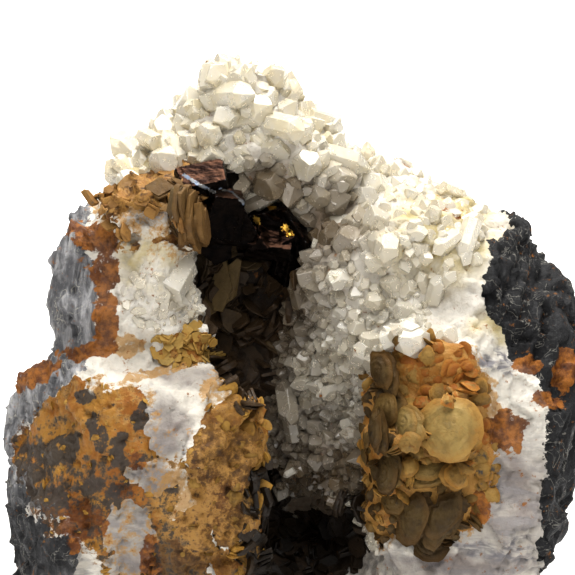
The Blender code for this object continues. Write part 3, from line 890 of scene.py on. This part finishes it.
for field, *zones in (
    ("in_schist", SCHIST_L, SCHIST_R), ("in_brown", STACK), ("in_ochre", CRUST, LINING), ("in_tan", ROSETTE),
    ("in_dark", BLADES),
):
    fields[field] = np.clip(inside[:, zones].max(1), -4, 4)
on_schist = smoothstep(fields["in_schist"], -0.5, 0.5)
fields["stain"] = fields["stain"] * (1 - 0.8 * on_schist * front)
pieces = split_skin(skin.data, points, zone, fields)
tree = tree_of(skin.data)
bpy.data.objects.remove(skin, do_unlink=True)

# Quartz points

big_quartz = [quartz_template(0.035) for _ in range(14)]
small_quartz = [quartz_template() for _ in range(14)]
reach = away[:, DRUSE] + 2.2 * edge_noise
quartz_zone = (zone == DRUSE) | (zone == VEIN)
head = smoothstep(height, 50, 62)
spacing = 2.15 + 1.35 * head + 0.5 * perlin(points, 7.0, 72)
spacing *= 1 - 0.12 * (1 - smoothstep(height, 18, 40))
thick = quartz_zone & (reach < 3.0)
frosted = spots([(425, 225, 52, 52), (395, 300, 30, 40)], 0.3)
loose = quartz_zone & (reach >= 3.0) & ((reach < 9.0) | (frosted > 0.3))


def grow_points(crop, chosen, room, templates, low, high, lean):
    """Quartz points on the chosen places, standing out by low to high times their size."""
    for i in chosen:
        size = room[i] * rng.uniform(0.56, 0.84)
        way = steady_normals[i] + spread(lean) + np.array((0, 0, 0.1))
        way /= norm(way)
        tall = rng.uniform(low, high) * size
        place = points[i] + way * (tall - 0.6 * size)
        warm = 0.25 + 0.6 * smoothstep(height[i], 55, 75) * rng.uniform(0.2, 1.0)
        # Each point takes the painted shade of its place, a little more on the left below the head.
        crop.add(
            templates[rng.integers(len(templates))], place, turn_to(way, rng.uniform(0, TURN)),
            size * np.array((1, 1, rng.uniform(0.85, 1.2))), tone=rng.uniform(0, 1), warm=warm,
            deep=deep[i] * rng.uniform(0.85, 1.0) + 0.12 * (points[i, 0] < -15) * (height[i] < 66),
        )


druse = Crop()
first = sow(thick, spacing)
grow_points(druse, first, spacing, big_quartz, 0.0, 0.9, 0.26)
second = sow(thick, spacing * 0.62)
grow_points(druse, second, spacing * 0.5, small_quartz, 0.2, 1.2, 0.4)
outer = Crop()
small = spacing * np.where(frosted > 0.3, 0.52, 0.95)
third = sow(loose, small)
plain_block = spots([(148, 246, 36, 30), (207, 222, 16, 36), (106, 300, 14, 44)])
third = [i for i in third if plain_block[i] < 0.4]
third = [i for i in third if frosted[i] > 0.3 or rng.uniform(3.0, 9.0) > reach[i]]
grow_points(outer, third, small * 1.1, big_quartz, -0.5, 0.5, 0.5)
glassy = (zone == VEIN) & (spots([(170, 300, 44, 30)]) > 0.3) & (plain_block < 0.4)
fourth = sow(glassy, spacing * 0.46)
grow_points(outer, fourth, spacing * 0.56, big_quartz, -0.6, 0.3, 0.42)
outer.add(
    big_quartz[3],
    at(410, 342, tree) + facing_way(-30, 35) * 0.6,
    turn_to(facing_way(-38, 30), 0.3),
    np.array((2.9, 2.6, 2.6)), tone=1.0, warm=0.5, deep=0.0,
)
quartz_material = crystal_material()
attach(druse.object("quartz_points"), quartz_material, "quartz_druse")
attach(outer.object("quartz_points_outer"), quartz_material, "quartz_vein")

# Siderite lenses

big_lenses = [lens_template(20, (0.25, 0.5, 0.72, 0.9, 1.0)) for _ in range(8)]
small_lenses = [lens_template(13, (0.55, 0.88, 1.0)) for _ in range(10)]
show_lenses = [terraced() for _ in range(6)]
plates = [plate_template() for _ in range(12)]


def grow_lenses(name, node, mineral, where, room, size, lean, upright, sink, extra=(), bright=0.0, flat=False):
    """Lenses all over a part of a node, and extra ones that are listed one by one."""
    crop = Crop()
    seeds = sow(where, np.full(len(points), room))

    def book(place, way, roll, scale, leaves, lenses=None, **values):
        """A few lenses grown side by side, each smaller than the last."""
        way = way / norm(way)
        lenses = plates if flat else lenses or (big_lenses if scale[0] > 1.7 else small_lenses)
        for leaf in range(leaves):
            slide = spread(0.1) * scale[0]
            shape = lenses[rng.integers(len(lenses))]
            crop.add(
                shape,
                place + way * scale[2] * (0.22 if flat else 0.3) * leaf + slide * (leaf > 0),
                turn_to(way + spread(0.07) * (leaf > 0), roll + rng.normal(0, 0.25) * (leaf > 0)),
                scale * (1 - 0.16 * leaf), rim=rim_of(shape[0]) * rng.uniform(0.4, 1), tone=rng.uniform(0, 1),
                **values,
            )

    trend = np.stack([fbm(points, 7.0, 2, 121 + k) for k in range(3)], 1)
    for i in seeds:
        radius = rng.uniform(*size)
        way = steady_normals[i] * upright + trend[i] * lean * 1.6 + spread(lean * 0.45)
        book(
            points[i] - flat_normals[i] * radius * sink, way, rng.uniform(0, TURN),
            radius * np.array((1, rng.uniform(0.7, 1.0), rng.uniform(0.7, 1.2))), rng.integers(1, 4),
            orange=orange_at[i], grey=grey_at[i], light=bright * rng.uniform(0.4, 1.0), shade=shade_at[i],
        )
    for px, py, width, length, azimuth, elevation, roll, lift, *light in extra:
        place = at(px, py, tree)
        near = int(np.argmin(((points - place) ** 2).sum(1)))
        book(
            place + facing_way(0, 20) * lift, facing_way(azimuth, elevation), radians(roll),
            np.array((width / 2, length / 2, (width + length) / 4.2)), 2, show_lenses,
            orange=orange_at[near] * 0.35, grey=grey_at[near] * 0.3, light=light[0] if light else 0.0,
            shade=shade_at[near],
        )
    attach(crop.object(name, 35), SIDERITE[mineral], node)


orange_at = np.clip(0.6 * perlin(points, 6.0, 81) + 0.1 + 0.9 * spots(ORANGE_TOP, 0.4), 0, 1)
grey_at = np.clip(0.55 * perlin(points, 5.0, 82), 0, 1)
shade_at = np.maximum(
    spots([(378, 430, 22, 110), (430, 530, 60, 55), (175, 250, 12, 60)] + RECESS_SHADE, 0.6),
    0.55 * spots([(232, 490, 40, 75), (192, 530, 26, 50), (194, 215, 20, 44)], 0.5),
)

RUSTY = (0.29, 0.105, 0.016)
SIDERITE = {
    index: siderite_material(name, *colours)
    for index, name, *colours in (
        (STACK, "siderite_brown", (0.05, 0.025, 0.01), (0.15, 0.068, 0.018), (0.3, 0.165, 0.045), RUSTY,
         (0.33, 0.25, 0.12)),
        (CRUST, "siderite_ochre", (0.12, 0.06, 0.014), (0.28, 0.14, 0.02), (0.42, 0.25, 0.055), RUSTY,
         (0.46, 0.36, 0.14)),
        (ROSETTE, "siderite_tan", (0.07, 0.04, 0.01), (0.18, 0.1, 0.02), (0.33, 0.205, 0.055), RUSTY,
         (0.32, 0.24, 0.088), (0.42, 0.2, 0.03)),
        (BLADES, "siderite_dark", (0.008, 0.005, 0.003), (0.02, 0.011, 0.005), (0.07, 0.042, 0.019),
         (0.06, 0.03, 0.01), (0.36, 0.26, 0.12), None, 0.38),
    )
}
rocks = {
    slot: rock_material("rock_" + slot, 0.15 if "quartz" in slot else 0.0)
    for slot in dict.fromkeys(SLOTS.values())
}
for piece, (name, slot) in zip(pieces, SLOTS.items()):
    attach(piece, rocks[slot], name)

# Lenses listed one by one: pixel, width, length, azimuth, elevation, roll, lift and how pale they are.
ROSETTE_LENSES = [
    (449, 428, 10.8, 10.4, -10, 22, 10, 1.4, 0.65), (444, 395, 5.0, 4.5, 10, 40, 0, 0.8),
    (408, 425, 6.0, 7.5, -50, 25, 70, 0.8, 0.6), (428, 476, 7.0, 4.5, -10, 60, 15, 1.0, 0.4),
    (455, 475, 5.0, 5.5, 35, 30, 70, 0.6), (443, 518, 6.0, 10.5, 8, 18, -30, 1.0),
    (414, 516, 6.0, 10.0, -25, 20, -10, 0.5), (430, 545, 7.0, 6.0, 0, 50, 0, 0.5),
    (385, 375, 6.5, 9.0, -60, 10, 60, 0.6), (392, 410, 7.0, 7.0, -50, 20, 20, 0.5),
    (380, 430, 6.0, 8.0, -70, 5, 40, 0.4), (388, 470, 7.0, 8.0, -60, 15, 10, 0.4),
    (395, 500, 6.0, 7.0, -45, 25, 60, 0.4), (470, 440, 5.0, 4.0, 30, 50, 0, 0.5),
]
grow_lenses(
    "rosette_lenses", "siderite_rosette", ROSETTE, zone == ROSETTE,
    1.9, (1.0, 2.2), 0.5, 0.8, 0.25, ROSETTE_LENSES,
)
grow_lenses("lining_lenses", "siderite_lining", CRUST, zone == LINING, 2.3, (0.9, 1.9), 0.4, 0.9, 0.45)
toothed = spots(TOOTHED) > 0.4
grow_lenses(
    "crust_teeth", "siderite_crust", CRUST, (zone == CRUST) & toothed,
    1.3, (0.9, 1.8), 0.7, 0.4, 0.1, (), 0.9, True,
)
grow_lenses(
    "crust_flakes", "siderite_crust", CRUST, (zone == CRUST) & ~toothed,
    3.2, (0.5, 1.2), 0.7, 0.6, 0.45,
)
STACK_PLATES = [
    (178, 205, 5.5, 7.5, 62, 4, 0, 0.5, 0.9), (183, 210, 5.5, 8.5, 70, 4, 3, 0.5, 0.35),
    (187, 215, 6.0, 9.5, 74, 3, -2, 0.5, 0.15), (191, 220, 6.0, 10.0, 78, 3, 2, 0.5, 0.1),
    (195, 225, 6.0, 10.0, 80, 2, -3, 0.5, 0.05), (199, 230, 6.0, 9.0, 84, 2, 2, 0.5, 0.0),
    (160, 190, 6.0, 4.5, -5, 65, 0, 0.2, 0.2), (130, 185, 6.0, 4.0, -15, 60, 20, 0.2, 0.3),
]
grow_lenses(
    "stack_plates", "siderite_stack", STACK, (zone == STACK) & (spots([(135, 228, 50, 20)]) < 0.3),
    2.4, (0.9, 2.0), 0.35, 0.9, 0.35, STACK_PLATES, 0.0, True,
)
POCKET_BLADES = [
    (223, 287, 5.0, 11.5, -22, 12, -28, 1.2, 1.0), (228, 249, 3.6, 5.0, -10, 40, -20, 0.8, 0.5),
    (250, 264, 5.0, 2.4, 0, 55, 10, 0.8, 0.45), (205, 262, 3.5, 8.0, -60, 5, -15, 0.6, 0.25),
    (232, 322, 4.5, 8.0, 25, 10, 20, 0.6, 0.15), (262, 330, 3.5, 5.0, 30, 25, -30, 0.5, 0.35),
    (275, 342, 3.5, 4.5, -30, 30, 30, 0.4, 0.4),
]
# Blades also grow over the recess, as painted shade.
grow_lenses(
    "pocket_blades", "siderite_blades", BLADES, zone == BLADES,
    2.0, (1.4, 3.0), 0.9, 0.5, 0.1, POCKET_BLADES, 0.0, True,
)

# Chalcopyrite


def ore_material():
    """Tarnished chalcopyrite, nearly black. Purple brown tarnish on up-facing faces only, partly painted light
    from above; painted bluish silver highlights on upward edges; painted golden glints of fresh chalcopyrite.
    """
    m = Nodes("chalcopyrite")
    mid = m.noise(1.6, 4.0, 0.6)
    fine = m.noise(0.5, 4.0, 0.7)
    grain = m.noise(0.9, 4.0, 0.7, m.stretch((0.2, 1.0, 1.0), (0, 25, 20)))
    dark = m.mix(m.ramp(mid, 0.35, 0.65), (0.0015, 0.001, 0.001), (0.006, 0.0035, 0.0025))
    top = m.mix(m.ramp(grain, 0.42, 0.6), (0.016, 0.008, 0.006), (0.085, 0.044, 0.028))
    # Purple brown tarnish on up-facing faces only: partly real tarnish, partly painted light from above.
    up = m.plus(m.field("up"), m.swing(mid, 0.1, 0.3, 0.7))
    colour = m.mix(m.ramp(up, 0.42, 0.72), dark, top)
    # Painted highlight: bluish silver on sharp upward edges and the listed edges.
    edge_highlight = m.mix(m.ramp(mid, 0.4, 0.6), (0.12, 0.145, 0.19), (0.19, 0.185, 0.175))
    edge = m.plus(m.field("edge"), m.swing(fine, 0.2, 0.3, 0.7))
    colour = m.mix(m.ramp(edge, 0.55, 0.9), colour, edge_highlight)
    # Painted glints: bright golden spots on listed places, in the colour of fresh chalcopyrite.
    gold_glint = m.plus(m.field("gold_glint"), m.swing(fine, 0.25, 0.3, 0.7))
    colour = m.mix(m.ramp(gold_glint, 0.45, 0.6), colour, (0.92, 0.58, 0.12))
    m.set(Base_Color=colour, Metallic=0.85, Specular_IOR_Level=0.15)
    m.set(Roughness=m.ramp(grain, 0.3, 0.7, 0.24, 0.46), Normal=m.bump(m.plus(grain, fine), 0.06))
    return m.material


ORE = ore_material()
# Painted golden glints of fresh chalcopyrite and painted bluish silver edge highlights: a pixel of the
# photograph and a radius, and edges from pixel to pixel.
GOLD_GLINTS = [(272, 207, 1.6), (257, 220, 1.3), (286, 228, 1.4), (290, 234, 1.1), (238, 250, 0.7)]
HIGHLIGHT_EDGES = [(184, 175, 198, 184), (198, 184, 214, 192), (221, 189, 232, 192), (232, 192, 244, 203)]
HIGHLIGHT_SPOTS = [
    (x0 + (x1 - x0) * t, y0 + (y1 - y0) * t, 0.62)
    for x0, y0, x1, y1 in HIGHLIGHT_EDGES
    for t in (0.0, 0.17, 0.33, 0.5, 0.67, 0.83, 1.0)
]


def dress_ore(name, seed, grain, blocks):
    """Chalcopyrite crystals with stepped, striated faces."""
    work = add_object(name + "_crystals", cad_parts[name].data.copy())
    bm = bmesh.new()
    bm.from_mesh(work.data)
    bmesh.ops.remove_doubles(bm, verts=bm.verts, dist=MERGE)
    for centre, half, top, turn in blocks:
        axes = turn_to(top, radians(turn))
        corner = 0.8 * (half[0] + half[1])
        planes = [((0, 0, 1), half[2]), ((0, 0, -1), half[2])]
        planes += [((1, 0.1, 0.2), half[0]), ((-1, 0.15, 0.1), half[0])]
        planes += [((0.1, 1, 0.25), half[1]), ((-0.1, -1, 0.1), half[1])]
        planes += [((0.7, 0.7, 0.35), 0.82 * corner), ((-0.7, -0.7, 0.3), 0.8 * corner)]
        shape, faces = cut_solid(planes)
        verts = [bm.verts.new(tuple(q)) for q in ((shape @ axes.T) + centre) / 1000]
        for face in faces:
            bm.faces.new([verts[k] for k in face])
    bm.to_mesh(work.data)
    bm.free()
    modify(work, "REMESH", mode="VOXEL", voxel_size=ORE_VOXEL / 1000)
    p = coords(work.data)
    n = normals(work.data)
    modify(work, "SMOOTH", factor=0.5, iterations=12)
    bulge = ((p - coords(work.data)) * n).sum(1)
    move = facets(p, 2.6, 0.2, seed) * 0.22
    move += 0.06 * ridged(perlin(stretched(p, grain, 9.0), 0.55, seed + 1))
    move += 0.03 * ridged(perlin(stretched(p, grain, 6.0), 0.25, seed + 2))
    p = np.clip(p + n * (move - 0.05)[:, None], LOW + INSET, HIGH - INSET)
    set_coords(work.data, p)
    n = normals(work.data)
    ore_tree = tree_of(work.data)

    def near_spots(table):
        field = np.zeros(len(p))
        for px, py, size in table:
            spot = at(px, py, ore_tree)
            if spot is not None:
                field = np.maximum(field, 1 - norm(p - spot, axis=1) / size)
        return field

    set_float(work.data, "up", n[:, 2])
    # Painted highlights along sharp upward edges and the listed edges.
    sharp = smoothstep(bulge, 0.02, 0.11) * smoothstep(n[:, 2], -0.3, 0.4)
    set_float(work.data, "edge", np.maximum(0.7 * sharp, 1.5 * near_spots(HIGHLIGHT_SPOTS)))
    set_float(work.data, "gold_glint", near_spots(GOLD_GLINTS))
    work.data.polygons.foreach_set("use_smooth", np.ones(len(work.data.polygons), bool))
    work.data.set_sharp_from_angle(angle=radians(28))
    attach(work, ORE, name)


# Crystals: centre, half sizes, the way that the top faces, and a turn in degrees.
UPPER_BLOCKS = [
    ((-13.3, -3.0, 73.0), (3.7, 2.4, 0.9), (-0.1, -0.6, 0.8), 24),
    ((-10.4, -1.0, 67.2), (3.5, 3.2, 3.4), (0.35, -0.1, 0.93), 35),
]
GROUP_BLOCKS = [
    ((-2.9, 1.2, 61.0), (4.0, 2.6, 1.3), (0.05, -0.55, 0.84), -6),
    ((-2.8, 3.4, 63.8), (2.9, 2.0, 1.4), (-0.2, -0.45, 0.87), 12),
    ((0.6, 1.6, 57.6), (1.8, 1.6, 3.4), (0.2, -0.3, 0.93), 5),
]
dress_ore("chalcopyrite_upper", 131, (0.3, 0.2, 0.93), UPPER_BLOCKS)
dress_ore("chalcopyrite_group", 141, (0.2, 0.35, 0.9), GROUP_BLOCKS)


# Room, lights and camera

mesh = bpy.data.meshes.new("floor")
mesh.from_pydata([(-4, -4, 0), (4, -4, 0), (4, 4, 0), (-4, 4, 0)], [], [(0, 1, 2, 3)])
floor = add_object("floor", mesh)
pale = Nodes("pale_floor")
pale.set(Base_Color=pale.mix(pale.noise(60.0), (0.92,) * 3, (0.8924,) * 3), Roughness=0.7)
floor.data.materials.append(pale.material)

world = bpy.data.worlds.new("studio")
bpy.context.scene.world = world
world.use_nodes = True
background = world.node_tree.nodes["Background"]
background.inputs["Color"].default_value = (1.0, 0.99, 0.97, 1)
background.inputs["Strength"].default_value = 0.34


def aim(obj, way):
    obj.rotation_mode = "QUATERNION"
    obj.rotation_quaternion = Vector(way).to_track_quat("-Z", "Y")


sun = bpy.data.lights.new("window", "SUN")
sun.energy = 2.7
sun.angle = radians(50)
aim(add_object("window", sun), (-0.12, 0.24, -1.0))
for name, place, target, size, power, colour in (
    ("back", (0.04, 0.24, 0.56), (0, 0.08, 0.02), 0.4, 4.0, (1.0, 0.98, 0.94)),
    ("front", (-0.35, -0.7, 0.55), (0, 0, 0.04), 0.35, 1.1, (1.0, 0.97, 0.92)),
):
    lamp = bpy.data.lights.new(name, "AREA")
    lamp.shape = "DISK"
    lamp.size = size
    lamp.energy = power
    lamp.color = colour
    light = add_object(name, lamp)
    light.location = place
    aim(light, Vector(target) - Vector(place))

camera = add_object("camera", bpy.data.cameras.new("camera"))
bpy.context.scene.camera = camera
camera.data.sensor_width = 36
camera.data.lens = 36 * FAR / (PHOTO * PIXEL)
camera.data.clip_start = 0.01
back = Vector((0, -cos(TILT), sin(TILT)))
camera.location = Vector((0, 0, AIM_HEIGHT / 1000)) + back * (FAR / 1000)
aim(camera, -back)
view = bpy.context.scene.view_settings
view.view_transform = "Standard"
view.gamma = 0.84
view.exposure = 0.16
